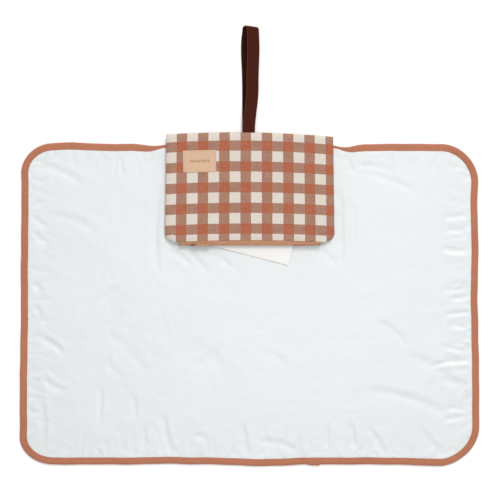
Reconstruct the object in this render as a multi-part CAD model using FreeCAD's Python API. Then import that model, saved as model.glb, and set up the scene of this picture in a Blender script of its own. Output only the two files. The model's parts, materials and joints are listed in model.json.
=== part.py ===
import FreeCAD, Part
import math
import os

# Fold-out baby changing pad, lying open.  Millimetres, +X right, +Y towards the
# pouch and its strap, +Z up.  The origin is the middle of the mat's underside.

# Mat
mat_length = 680.0
mat_width = 480.0
left_corner_radius = 46.0
right_corner_radius = 58.0
top_sheet = 0.5
padding = 3.0
back_cloth = 0.5
mat_thick = back_cloth + padding + top_sheet

# Binding folded round the mat's edge
binding_cloth = 0.6
binding_width = 10.4

# Fold lines between the middle panel and the two wings
fold_gap = 0.4
fold_clearance = 0.6
wing_clearance = 0.8
flap_clearance = 0.4

# Zipped pouch
pouch_width = 248.0
pouch_height = 161.0
pouch_overhang = 15.0
pouch_cavity = 8.4
pouch_cloth = 0.6
pouch_bottom_radius = 15.0
pouch_top_radius = 1.5
gusset_cloth = 1.2
rest_clearance = 0.3

# Zip along the pouch's bottom edge
zip_from_side = 19.0
zip_tape_width = 12.0
zip_tape_show = 4.0
zip_tape = 0.6
coil_depth = 1.5
coil_height = 1.6
coil_pitch = 2.5
coil_tooth = 1.3
coil_core_depth = 0.9
coil_core_height = 1.0
stop_length = 3.0

# Slider and pull tab
slider_length = 8.0
slider_wall = 0.8
slider_clearance = 0.3
slider_lip = 1.0
slider_corner = 1.4
slider_from_left = 22.0
bridge_width = 1.6
bridge_wall = 0.7
bridge_reach = 2.7
pull_length = 24.0
pull_thick = 1.0
pull_width = 3.0
pull_arm = 0.9
pull_window = 3.6

# Leather label on the pouch's front
label_width = 49.0
label_height = 32.5
label_thick = 1.0
label_corner = 1.0
label_from_left = 25.0
label_from_top = 25.5
label_turn = 1.0

# Leather wrist strap, a loop sewn into the seam between the pouch and the mat
strap_width = 18.0
strap_thick = 1.8
strap_gap = 4.8
strap_length = 157.0
strap_neck = 12.0
strap_slope = 30.0
strap_root_gap = 0.7
strap_mid_x = 0.7
strap_bend = 18.0

# Cloth that joins the mat's top edge to the pouch's top seam
hinge_cloth = 1.6
hinge_cloth_side = 2.0
hinge_cloth_short = 0.5

# Folded wipe that slides out of the pouch
wipe_width = 130.0
wipe_height = 120.0
wipe_thick = 0.8
wipe_turn = 15.0
wipe_corner_x = 57.0
wipe_corner_out = 31.0
wipe_corner_radius = 1.5

# Heights and lines that follow from the sizes above
mat_top_y = mat_width / 2
fold_x = pouch_width / 2 + 2.0
pouch_top_y = mat_top_y + pouch_overhang
pouch_bottom_y = pouch_top_y - pouch_height
pouch_low_z = mat_thick + rest_clearance
pouch_high_z = pouch_low_z + 2 * pouch_cloth + pouch_cavity
pouch_mid_z = (pouch_low_z + pouch_high_z) / 2
cavity_low_z = pouch_low_z + pouch_cloth
cavity_high_z = pouch_high_z - pouch_cloth
zip_length = pouch_width - 2 * zip_from_side
tape_edge_y = pouch_bottom_y - zip_tape_show
back_tape_mid_z = cavity_low_z + zip_tape / 2
front_tape_mid_z = cavity_high_z - zip_tape / 2
coil_mid_y = tape_edge_y - coil_depth / 2
slider_high_z = front_tape_mid_z + coil_height / 2 + slider_clearance + slider_wall
slider_mid_x = slider_from_left - zip_length / 2
pull_pivot_z = slider_high_z + slider_clearance + pull_thick / 2
bridge_top_z = pull_pivot_z + pull_thick / 2 + slider_clearance + bridge_wall
left_fold_z = (bridge_top_z + fold_clearance + mat_thick) / 2
right_fold_z = left_fold_z + (mat_thick + wing_clearance) / 2
strap_root_y = pouch_top_y + strap_root_gap + strap_thick
strap_root_high_z = pouch_mid_z + strap_thick
flap_z = (pouch_high_z + strap_root_high_z + flap_clearance) / 2
wipe_low_z = back_tape_mid_z + coil_height / 2 + slider_clearance
wipe_corner_y = tape_edge_y - wipe_corner_out
label_left_x = label_from_left - pouch_width / 2
label_bottom_y = pouch_top_y - label_from_top - label_height


def vector(x, y, z):
    return FreeCAD.Vector(x, y, z)


def on_xy(u, v):
    return vector(u, v, 0)


def on_yz(u, v):
    return vector(0, u, v)


def on_xz(u, v):
    return vector(u, 0, v)


def outline_face(corners, plane):
    """Flat face with straight sides and corners rounded as (u, v, radius)."""
    points = [vector(u, v, 0) for u, v, _ in corners]
    arcs = []
    for i, (_, _, radius) in enumerate(corners):
        here = points[i]
        back = (points[i - 1] - here).normalize()
        ahead = (points[(i + 1) % len(points)] - here).normalize()
        half = back.getAngle(ahead) / 2
        reach = radius / math.tan(half)
        middle = (back + ahead).normalize() * (radius / math.sin(half) - radius)
        arcs.append((here + back * reach, here + middle, here + ahead * reach, radius))
    edges = []
    for i, (start, middle, end, radius) in enumerate(arcs):
        before = arcs[i - 1][2]
        if (start - before).Length > 1e-6:
            edges.append(Part.LineSegment(plane(before.x, before.y), plane(start.x, start.y)).toShape())
        if radius > 0:
            marks = [plane(p.x, p.y) for p in (start, middle, end)]
            edges.append(Part.Arc(*marks).toShape())
    return Part.Face(Part.Wire(edges))


def slab(corners, low_z, high_z):
    """Flat plate of a rounded outline between two heights."""
    face = outline_face(corners, on_xy)
    face.translate(vector(0, 0, low_z))
    return face.extrude(vector(0, 0, high_z - low_z))


def rectangle(low_x, low_y, high_x, high_y, low_radius=0.0, high_radius=0.0):
    """Corners of a rectangle, with one radius below and one above."""
    return [
        (low_x, low_y, low_radius),
        (high_x, low_y, low_radius),
        (high_x, high_y, high_radius),
        (low_x, high_y, high_radius),
    ]


def box(low_x, high_x, low_y, high_y, low_z, high_z):
    size = (high_x - low_x, high_y - low_y, high_z - low_z)
    return Part.makeBox(*size, vector(low_x, low_y, low_z))


def joined(shapes):
    """One clean solid from solids that share faces or overlap."""
    whole = shapes[0].multiFuse(shapes[1:]).removeSplitter()
    return whole.Solids[0] if len(whole.Solids) == 1 else whole


def write(node, shape):
    shape.exportStep(f"parts/{node}.step")


def mat_plate(inset, low_z, high_z):
    """Plate of the mat's outline, drawn in by an inset."""
    half_x = mat_length / 2 - inset
    half_y = mat_width / 2 - inset
    left = left_corner_radius - inset
    right = right_corner_radius - inset
    corners = [
        (-half_x, -half_y, left),
        (half_x, -half_y, right),
        (half_x, half_y, right),
        (-half_x, half_y, left),
    ]
    return slab(corners, low_z, high_z)


def mat_ring(outer_inset, inner_inset, low_z, high_z):
    return mat_plate(outer_inset, low_z, high_z).cut(mat_plate(inner_inset, low_z, high_z))


def whole_top_sheet():
    """Wipeable sheet: flat inside, stepped down to pass under the binding."""
    low_z = mat_thick - top_sheet
    rim_high_z = mat_thick - binding_cloth
    rim_low_z = rim_high_z - top_sheet
    step_inset = binding_width + top_sheet
    plate = mat_plate(binding_width, low_z, mat_thick)
    step = mat_ring(binding_width, step_inset, rim_low_z, mat_thick)
    rim = mat_ring(binding_cloth, step_inset, rim_low_z, rim_high_z)
    return joined([plate, step, rim])


def whole_back_cloth():
    """Outer cloth under the mat, stepped up to pass over the binding."""
    rim_high_z = binding_cloth + back_cloth
    step_inset = binding_width + back_cloth
    plate = mat_plate(binding_width, 0, back_cloth)
    step = mat_ring(binding_width, step_inset, 0, rim_high_z)
    rim = mat_ring(binding_cloth, step_inset, binding_cloth, rim_high_z)
    return joined([plate, step, rim])


def whole_padding():
    """Soft filling between the two cloths, thinner inside the binding."""
    step_inset = binding_width + max(top_sheet, back_cloth)
    rim_low_z = binding_cloth + back_cloth
    rim_high_z = mat_thick - binding_cloth - top_sheet
    plate = mat_plate(step_inset, back_cloth, mat_thick - top_sheet)
    rim = mat_plate(binding_cloth, rim_low_z, rim_high_z)
    return joined([plate, rim])


def whole_binding():
    """U-shaped strip round the edge, one leg on each face of the mat."""
    web = mat_ring(0, binding_cloth, 0, mat_thick)
    upper_leg = mat_ring(0, binding_width, mat_thick - binding_cloth, mat_thick)
    lower_leg = mat_ring(0, binding_width, 0, binding_cloth)
    return joined([web, upper_leg, lower_leg])


def panel_box(low_x, high_x, low_y=-mat_width, high_y=mat_width):
    return box(low_x, high_x, low_y, high_y, -mat_thick, 2 * mat_thick)


def write_mat():
    wing_x = fold_x + fold_gap
    panels = {
        "centre": panel_box(-fold_x, fold_x),
        "left": panel_box(-mat_length, -wing_x),
        "right": panel_box(wing_x, mat_length),
    }
    layers = {
        "top_sheet": whole_top_sheet(),
        "padding": whole_padding(),
        "back_cloth": whole_back_cloth(),
    }
    for side, cutter in panels.items():
        for layer, shape in layers.items():
            write(f"{side}_{layer}", shape.common(cutter))
    binding = whole_binding()
    write("left_binding", binding.common(panels["left"]))
    write("right_binding", binding.common(panels["right"]))
    write("centre_binding_top", binding.common(panel_box(-fold_x, fold_x, low_y=0)))
    write("centre_binding_bottom", binding.common(panel_box(-fold_x, fold_x, high_y=0)))


def write_hinge_cloth():
    half_x = pouch_width / 2 - hinge_cloth_side
    low_z = (mat_thick - hinge_cloth) / 2
    end_y = pouch_top_y - hinge_cloth_short
    write("pouch_hinge_cloth", box(-half_x, half_x, mat_top_y, end_y, low_z, low_z + hinge_cloth))


def pouch_plate(inset, low_z, high_z):
    half_x = pouch_width / 2 - inset
    corners = rectangle(
        -half_x,
        pouch_bottom_y + inset,
        half_x,
        pouch_top_y - inset,
        pouch_bottom_radius - inset,
        max(pouch_top_radius - inset, 0.3),
    )
    return slab(corners, low_z, high_z)


def write_pouch():
    """Front and back panels, and the gusset round three sides of the pocket."""
    write("pouch_back", pouch_plate(0, pouch_low_z, cavity_low_z))
    write("pouch_front", pouch_plate(0, cavity_high_z, pouch_high_z))
    ring = pouch_plate(0, cavity_low_z, cavity_high_z)
    ring = ring.cut(pouch_plate(gusset_cloth, cavity_low_z, cavity_high_z))
    mouth_high_y = pouch_bottom_y + pouch_bottom_radius
    half_mouth = zip_length / 2
    mouth = box(-half_mouth, half_mouth, 0, mouth_high_y, cavity_low_z, cavity_high_z)
    write("pouch_gusset", ring.cut(mouth))


def zip_tape_strip(mid_z):
    half_x = zip_length / 2
    high_y = tape_edge_y + zip_tape_width
    return box(-half_x, half_x, tape_edge_y, high_y, mid_z - zip_tape / 2, mid_z + zip_tape / 2)


def zip_coil(mid_z):
    """Row of teeth along the tape's edge, on one continuous core."""
    half_x = zip_length / 2 - stop_length
    half_core = coil_core_height / 2
    core_low_y = tape_edge_y - coil_core_depth
    parts = [box(-half_x, half_x, core_low_y, tape_edge_y, mid_z - half_core, mid_z + half_core)]
    count = int((2 * half_x - coil_tooth) // coil_pitch) + 1
    first_x = -((count - 1) * coil_pitch + coil_tooth) / 2
    for i in range(count):
        low_x = first_x + i * coil_pitch
        parts.append(zip_block(low_x, low_x + coil_tooth, mid_z, mid_z))
    return joined(parts)


def zip_block(low_x, high_x, low_mid_z, high_mid_z):
    """Block as deep as the teeth, from one tape's height to another's."""
    half_z = coil_height / 2
    low_y = tape_edge_y - coil_depth
    return box(low_x, high_x, low_y, tape_edge_y, low_mid_z - half_z, high_mid_z + half_z)


def write_zip():
    rows = {"front": front_tape_mid_z, "back": back_tape_mid_z}
    for row, mid_z in rows.items():
        write(f"zip_tape_{row}", zip_tape_strip(mid_z))
        write(f"zip_coil_{row}", zip_coil(mid_z))
    left_x = -zip_length / 2
    right_x = zip_length / 2
    write("zip_bottom_stop", zip_block(left_x, left_x + stop_length, back_tape_mid_z, front_tape_mid_z))
    stops = [zip_block(right_x - stop_length, right_x, mid_z, mid_z) for mid_z in rows.values()]
    write("zip_top_stops", Part.makeCompound(stops))


def write_slider():
    """Channel round the front row of teeth, with a bridge for the pull tab."""
    in_low_y = tape_edge_y - coil_depth - slider_clearance
    in_high_y = tape_edge_y + slider_clearance
    low_y = in_low_y - slider_lip
    high_y = in_high_y + slider_lip
    in_half_z = coil_height / 2 + slider_clearance
    half_z = in_half_z + slider_wall
    half_slit = zip_tape / 2 + slider_clearance
    low_x = slider_mid_x - slider_length / 2
    high_x = slider_mid_x + slider_length / 2
    body = slab(
        rectangle(low_x, low_y, high_x, high_y, slider_corner, slider_corner),
        front_tape_mid_z - half_z,
        front_tape_mid_z + half_z,
    )
    channel = box(
        low_x, high_x, in_low_y, in_high_y, front_tape_mid_z - in_half_z, front_tape_mid_z + in_half_z
    )
    slit = box(
        low_x, high_x, in_low_y, high_y, front_tape_mid_z - half_slit, front_tape_mid_z + half_slit
    )
    body = body.cut(channel).cut(slit)
    write("zip_slider", joined([body, bridge()]))


def bridge():
    """Arch along the slider that the pull tab's bar turns under."""
    foot_z = slider_high_z - slider_wall / 2
    outer = [
        (slider_mid_x - bridge_reach, foot_z, 0.0),
        (slider_mid_x + bridge_reach, foot_z, 0.0),
        (slider_mid_x + bridge_reach, bridge_top_z, bridge_wall),
        (slider_mid_x - bridge_reach, bridge_top_z, bridge_wall),
    ]
    inner_reach = bridge_reach - bridge_wall
    inner = [
        (slider_mid_x - inner_reach, slider_high_z, 0.0),
        (slider_mid_x + inner_reach, slider_high_z, 0.0),
        (slider_mid_x + inner_reach, bridge_top_z - bridge_wall, 0.3),
        (slider_mid_x - inner_reach, bridge_top_z - bridge_wall, 0.3),
    ]
    across = vector(0, bridge_width, 0)
    arch = outline_face(outer, on_xz).extrude(across)
    arch = arch.cut(outline_face(inner, on_xz).extrude(across))
    arch.translate(vector(0, coil_mid_y - bridge_width / 2, 0))
    return arch


def write_pull():
    """Flat tab whose end bar passes under the bridge."""
    half_bar = pull_thick / 2
    half_window = bridge_width / 2 + slider_clearance
    half_eye = half_window + pull_arm
    low_z = pull_pivot_z - half_bar
    high_z = pull_pivot_z + half_bar
    window_end_x = slider_mid_x + half_bar + pull_window
    neck_x = window_end_x + pull_arm
    tip_x = slider_mid_x + pull_length
    half_tab = pull_width / 2
    eye = box(slider_mid_x, neck_x, coil_mid_y - half_eye, coil_mid_y + half_eye, low_z, high_z)
    bar = Part.makeCylinder(
        half_bar, 2 * half_eye, vector(slider_mid_x, coil_mid_y - half_eye, pull_pivot_z), vector(0, 1, 0)
    )
    tab = slab(
        [
            (neck_x - pull_arm, coil_mid_y - half_tab, 0.0),
            (tip_x, coil_mid_y - half_tab, half_tab * 0.95),
            (tip_x, coil_mid_y + half_tab, half_tab * 0.95),
            (neck_x - pull_arm, coil_mid_y + half_tab, 0.0),
        ],
        low_z,
        high_z,
    )
    window = box(
        slider_mid_x + half_bar,
        window_end_x,
        coil_mid_y - half_window,
        coil_mid_y + half_window,
        low_z,
        high_z,
    )
    write("zip_pull", joined([eye, bar, tab]).cut(window).Solids[0])


def write_label():
    corners = rectangle(0, 0, label_width, label_height, label_corner, label_corner)
    label = slab(corners, pouch_high_z, pouch_high_z + label_thick)
    label.translate(vector(label_left_x, label_bottom_y, 0))
    middle = vector(label_left_x + label_width / 2, label_bottom_y + label_height / 2, 0)
    label.rotate(middle, vector(0, 0, 1), label_turn)
    write("label", label)


def write_strap():
    """Long loop, its two layers sewn together at the pouch and open beyond."""
    tip_y = strap_root_y + strap_length
    loop_high_z = strap_gap + 2 * strap_thick
    neck_y = strap_root_y + strap_neck
    flat_y = neck_y + strap_slope
    neck_low_z = pouch_mid_z - strap_thick
    tip_radius = loop_high_z / 2 - 0.01
    inner_radius = strap_gap / 2 - 0.01
    outer = [
        (strap_root_y, neck_low_z, 0.0),
        (neck_y, neck_low_z, strap_bend),
        (flat_y, 0.0, strap_bend),
        (tip_y, 0.0, tip_radius),
        (tip_y, loop_high_z, tip_radius),
        (flat_y, loop_high_z, strap_bend),
        (neck_y, strap_root_high_z, strap_bend),
        (strap_root_y, strap_root_high_z, 0.0),
    ]
    inner = [
        (neck_y + strap_thick, pouch_mid_z - 0.05, 0.0),
        (flat_y + strap_thick / 2, strap_thick, strap_bend),
        (tip_y - strap_thick, strap_thick, inner_radius),
        (tip_y - strap_thick, strap_thick + strap_gap, inner_radius),
        (flat_y, strap_thick + strap_gap, strap_bend),
        (neck_y + strap_thick, pouch_mid_z + 0.05, 0.0),
    ]
    across = vector(strap_width, 0, 0)
    loop = outline_face(outer, on_yz).extrude(across)
    loop = loop.cut(outline_face(inner, on_yz).extrude(across))
    root = Part.makeCylinder(
        strap_thick, strap_width, vector(0, strap_root_y, pouch_mid_z), vector(1, 0, 0)
    )
    strap = joined([loop, root])
    strap.translate(vector(strap_mid_x - strap_width / 2, 0, 0))
    write("strap_loop", strap)


def write_wipe():
    corners = rectangle(-wipe_width, 0, 0, wipe_height, wipe_corner_radius, wipe_corner_radius)
    wipe = slab(corners, wipe_low_z, wipe_low_z + wipe_thick)
    wipe.rotate(vector(0, 0, 0), vector(0, 0, 1), -wipe_turn)
    wipe.translate(vector(wipe_corner_x, wipe_corner_y, 0))
    write("wipe_sheet", wipe)


os.makedirs("parts", exist_ok=True)
write_mat()
write_hinge_cloth()
write_pouch()
write_zip()
write_slider()
write_pull()
write_label()
write_strap()
write_wipe()
print("fold lines: left", round(left_fold_z, 3), "right", round(right_fold_z, 3))
print("pouch flap height", round(flap_z, 3), "strap root", strap_root_y, round(pouch_mid_z, 3))
print("pull tab pivot", slider_mid_x, coil_mid_y, round(pull_pivot_z, 3))
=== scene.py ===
"""Looks of the fold-out changing pad: soft mat, zipped pouch, strap, label and wipe."""

import json
import math

import bpy
import numpy as np
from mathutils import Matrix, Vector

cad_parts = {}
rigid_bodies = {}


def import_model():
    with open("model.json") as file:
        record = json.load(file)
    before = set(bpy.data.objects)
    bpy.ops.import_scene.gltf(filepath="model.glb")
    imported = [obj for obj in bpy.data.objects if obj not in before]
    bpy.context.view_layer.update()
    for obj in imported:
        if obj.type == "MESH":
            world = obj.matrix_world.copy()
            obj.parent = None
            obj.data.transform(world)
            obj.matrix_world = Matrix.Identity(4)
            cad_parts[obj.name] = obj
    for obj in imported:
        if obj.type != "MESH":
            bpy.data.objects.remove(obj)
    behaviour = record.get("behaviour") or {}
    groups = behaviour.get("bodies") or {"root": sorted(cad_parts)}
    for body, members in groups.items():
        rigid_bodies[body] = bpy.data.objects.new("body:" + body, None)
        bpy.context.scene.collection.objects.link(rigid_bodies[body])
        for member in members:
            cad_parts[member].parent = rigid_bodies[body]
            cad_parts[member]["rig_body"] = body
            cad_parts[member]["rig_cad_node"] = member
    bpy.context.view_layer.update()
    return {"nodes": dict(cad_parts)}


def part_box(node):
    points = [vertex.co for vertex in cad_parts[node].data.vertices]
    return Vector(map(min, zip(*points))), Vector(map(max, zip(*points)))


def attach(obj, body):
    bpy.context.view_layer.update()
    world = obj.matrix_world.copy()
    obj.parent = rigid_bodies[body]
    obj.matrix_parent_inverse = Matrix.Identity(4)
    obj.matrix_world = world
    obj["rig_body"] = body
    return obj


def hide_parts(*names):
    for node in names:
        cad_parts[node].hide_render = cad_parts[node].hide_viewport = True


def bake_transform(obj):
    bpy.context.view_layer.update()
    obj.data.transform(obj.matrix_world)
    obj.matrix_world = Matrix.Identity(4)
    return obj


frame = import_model()
bpy.ops.object.select_all(action="DESELECT")

MM = 0.001

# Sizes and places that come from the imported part
mat_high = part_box("right_binding")[1]
HALF_LONG = mat_high.x
HALF_WIDE = mat_high.y
MAT_THICK = mat_high.z
LEFT_CORNER = 46 * MM
RIGHT_CORNER = 58 * MM
BINDING = 10.4 * MM
FOLD_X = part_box("centre_binding_top")[1].x
front_low, front_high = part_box("pouch_front")
back_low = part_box("pouch_back")[0]
SEAM_Z = (back_low.z + front_high.z) / 2


# Handling pieces

def points_of(piece):
    flat = np.empty(len(piece.data.vertices) * 3)
    piece.data.vertices.foreach_get("co", flat)
    return flat.reshape(-1, 3)


def set_points(piece, points):
    piece.data.vertices.foreach_set("co", np.asarray(points).ravel())
    piece.data.update()


def only(*pieces):
    bpy.ops.object.select_all(action="DESELECT")
    for piece in pieces:
        piece.select_set(True)
    bpy.context.view_layer.objects.active = pieces[0]


def newest(name):
    piece = bpy.context.object
    piece.name = name
    piece.data.name = name
    return piece


def finish_with(piece, kind, **settings):
    """Adds a modifier and applies it."""
    only(piece)
    modifier = piece.modifiers.new(kind.title(), kind)
    for name, value in settings.items():
        setattr(modifier, name, value)
    bpy.ops.object.modifier_apply(modifier=modifier.name)


def joined(*pieces):
    only(*pieces)
    bpy.ops.object.join()
    return pieces[0]


def copied(piece, name):
    only(piece)
    bpy.ops.object.duplicate()
    return newest(name)


def faces_where(piece, choose):
    """Selects the faces whose middles pass a test, and nothing else."""
    mesh = piece.data
    flat = np.empty(len(mesh.polygons) * 3)
    mesh.polygons.foreach_get("center", flat)
    chosen = choose(flat.reshape(-1, 3))
    mesh.vertices.foreach_set("select", np.zeros(len(mesh.vertices), bool))
    mesh.edges.foreach_set("select", np.zeros(len(mesh.edges), bool))
    mesh.polygons.foreach_set("select", chosen)


def select_everything():
    bpy.ops.mesh.select_all(action="SELECT")


def in_edit(piece, *steps):
    """Runs edit-mode steps on one piece, faces selected beforehand."""
    only(piece)
    bpy.ops.object.mode_set(mode="EDIT")
    for step in steps:
        step()
    bpy.ops.object.mode_set(mode="OBJECT")


def drop_faces(piece, choose):
    bpy.context.tool_settings.mesh_select_mode = (False, False, True)
    faces_where(piece, choose)
    in_edit(piece, lambda: bpy.ops.mesh.delete(type="FACE"))


def merge_and_face_out(piece):
    in_edit(
        piece,
        select_everything,
        lambda: bpy.ops.mesh.remove_doubles(threshold=0.02 * MM),
        lambda: bpy.ops.mesh.normals_make_consistent(inside=False),
    )


def smooth(piece, angle=None):
    only(piece)
    if angle is None:
        bpy.ops.object.shade_smooth()
    else:
        bpy.ops.object.shade_smooth_by_angle(angle=math.radians(angle))


def lay_map(piece, plan):
    """Gives every corner of every face its place on the flat cloth, in metres."""
    layer = piece.data.uv_layers.get("Cut") or piece.data.uv_layers.new(name="Cut")
    loops = np.empty(len(piece.data.loops), int)
    piece.data.loops.foreach_get("vertex_index", loops)
    layer.data.foreach_set("uv", plan[loops][:, :2].astype(np.float32).ravel())
    for other in [m for m in piece.data.uv_layers if m.name != "Cut"]:
        piece.data.uv_layers.remove(other)


def cloth(name, across, along):
    """Flat sheet with cloth lines at the given places, and its cut plan."""
    bpy.ops.mesh.primitive_grid_add(
        x_subdivisions=len(across) - 1, y_subdivisions=len(along) - 1, size=2
    )
    piece = newest(name)
    points = points_of(piece)
    column = np.rint((points[:, 0] + 1) / 2 * (len(across) - 1)).astype(int)
    row = np.rint((points[:, 1] + 1) / 2 * (len(along) - 1)).astype(int)
    plan = np.stack([across[column], along[row], np.zeros(len(points))], 1)
    set_points(piece, plan)
    return piece, plan


def lines(low, high, cell):
    return np.linspace(low, high, max(2, int(round((high - low) / cell)) + 1))


def edged_lines(half, rim, cell):
    """Cloth lines from -half to half, close together at both edges."""
    rim = np.array(rim) * MM
    count = 2 * int(round((half - rim[-1]) / cell))
    middle = np.linspace(-(half - rim[-1]), half - rim[-1], count + 1)
    return np.concatenate([-half + rim[:-1], middle, (half - rim[:-1])[::-1]])


# Soft shapes

def ease(t):
    t = np.clip(t, 0, 1)
    return t * t * (3 - 2 * t)


def bump(t, middle, reach):
    return np.exp(-(((t - middle) / reach) ** 2))


def soft_noise(x, y, size, seed):
    """Smooth wandering field between about -1 and 1, with features of one size."""
    turns = np.random.RandomState(seed)
    total = np.zeros_like(x)
    for _ in range(9):
        heading = turns.uniform(0, math.tau)
        length = size * turns.uniform(0.7, 1.5)
        phase = turns.uniform(0, math.tau)
        total += np.sin((x * math.cos(heading) + y * math.sin(heading)) * math.tau / length + phase)
    return total / 4.2


def round_corners(x, y, half_x, half_y, radius, bottom_only=False):
    """Draws square-cut corners in to rounded ones, keeping each ring's inset."""
    s = (np.abs(x) - (half_x - radius)) / radius
    t = (np.abs(y) - (half_y - radius)) / radius
    both = (s > 0) & (t > 0)
    if bottom_only:
        both &= y < 0
    safe = np.where(both, np.hypot(s, t), 1)
    keep = np.where(both, np.maximum(s, t) / safe, 1)
    new_x = np.where(both, np.sign(x) * (half_x - radius + s * keep * radius), x)
    new_y = np.where(both, np.sign(y) * (half_y - radius + t * keep * radius), y)
    return new_x, new_y


def mat_inset(x, y):
    return np.minimum(HALF_LONG - np.abs(x), HALF_WIDE - np.abs(y))


def mat_outline(x, y):
    """Where a point of the square-cut mat lies once cut round and laid down."""
    corner = np.where(x < 0, LEFT_CORNER, RIGHT_CORNER)
    new_x, new_y = round_corners(x, y, HALF_LONG, HALF_WIDE, corner)
    u, v = new_x / MM, new_y / MM
    left = 0.6 + 1.5 * ease((-25 - v) / 80) + 0.5 * bump(v, -205, 26) - 1.0 * bump(v, 150, 50)
    right = 0.4 - 1.4 * bump(v, 150, 35) - 1.4 * bump(v, 10, 28) + 1.4 * bump(v, -140, 70)
    bottom = -2.6 + 2.8 * bump(u, 18, 42) + 2.2 * bump(u, 275, 36) - 1.2 * bump(u, -122, 24)
    top = -0.6 + 2.1 * bump(u, -270, 36) - 2.6 * bump(u, -142, 20) - 5.0 * bump(u, 143, 19)
    side = ease(1 - (HALF_LONG - np.abs(new_x)) / 0.06)
    end = ease(1 - (HALF_WIDE - np.abs(new_y)) / 0.05)
    shift_x = side * np.where(u < 0, -left, right)
    shift_y = end * np.where(v < 0, -bottom, top)
    roll = 0.56 * bump(u, -126, 20) + 0.60 * bump(u, 128, 20)
    deep = (HALF_WIDE - np.abs(new_y)) / MM
    rolled = np.minimum(np.maximum(deep, 0), 10.4) * ease(1 - (deep - 10.4) / 36) * roll
    shift_y = shift_y + np.where(v > 0, rolled, 0)
    flutter = 0.35 * np.sin(u / 9.5 + 1.1 * np.sin(v / 31)) * np.sin(u / 37)
    flutter_side = 0.35 * np.sin(v / 10.5) * np.sin(v / 41)
    shift_y = shift_y + end * flutter
    shift_x = shift_x + side * flutter_side
    return new_x + shift_x * MM, new_y + shift_y * MM


def crease(x, y, start, end, depth, reach, bow=0.0):
    """Dent along a stroke, with a low shoulder each side, fading at its ends."""
    ax, ay = start
    bx, by = end
    run = math.hypot(bx - ax, by - ay)
    ux, uy = (bx - ax) / run, (by - ay) / run
    along = ((x - ax) * ux + (y - ay) * uy) / run
    off = -(x - ax) * uy + (y - ay) * ux - bow * 4 * along * (1 - along)
    fade = ease(np.minimum(along, 1 - along) * 3.2 + 0.12)
    fade = np.where((along < 0) | (along > 1), 0.0, fade)
    profile = bump(off, 0, reach) - 0.42 * bump(off, 1.9 * reach, 0.9 * reach)
    return -depth * profile * fade


def puckers(x, y):
    """Short creases drawn in by the binding, all round the edge."""
    total = np.zeros_like(x)
    turns = np.random.RandomState(21)
    reach_x = HALF_LONG / MM - 11
    reach_y = HALF_WIDE / MM - 11
    for side, length in (("left", 380), ("right", 370), ("bottom", 560), ("top", 560)):
        place = -length / 2
        while place < length / 2:
            place += turns.uniform(6, 28)
            run = turns.uniform(12, 46)
            lean = turns.uniform(-9, 9)
            depth = turns.uniform(0.2, 1.0)
            width = turns.uniform(1.5, 3.3)
            if side in ("left", "right"):
                sign = -1 if side == "left" else 1
                start = (sign * reach_x, place)
                end = (sign * (reach_x - run), place + lean)
            else:
                sign = -1 if side == "bottom" else 1
                start = (place, sign * reach_y)
                end = (place + lean, sign * (reach_y - run))
            total += crease(x, y, start, end, depth, width, turns.uniform(-2, 2))
    return total


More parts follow.
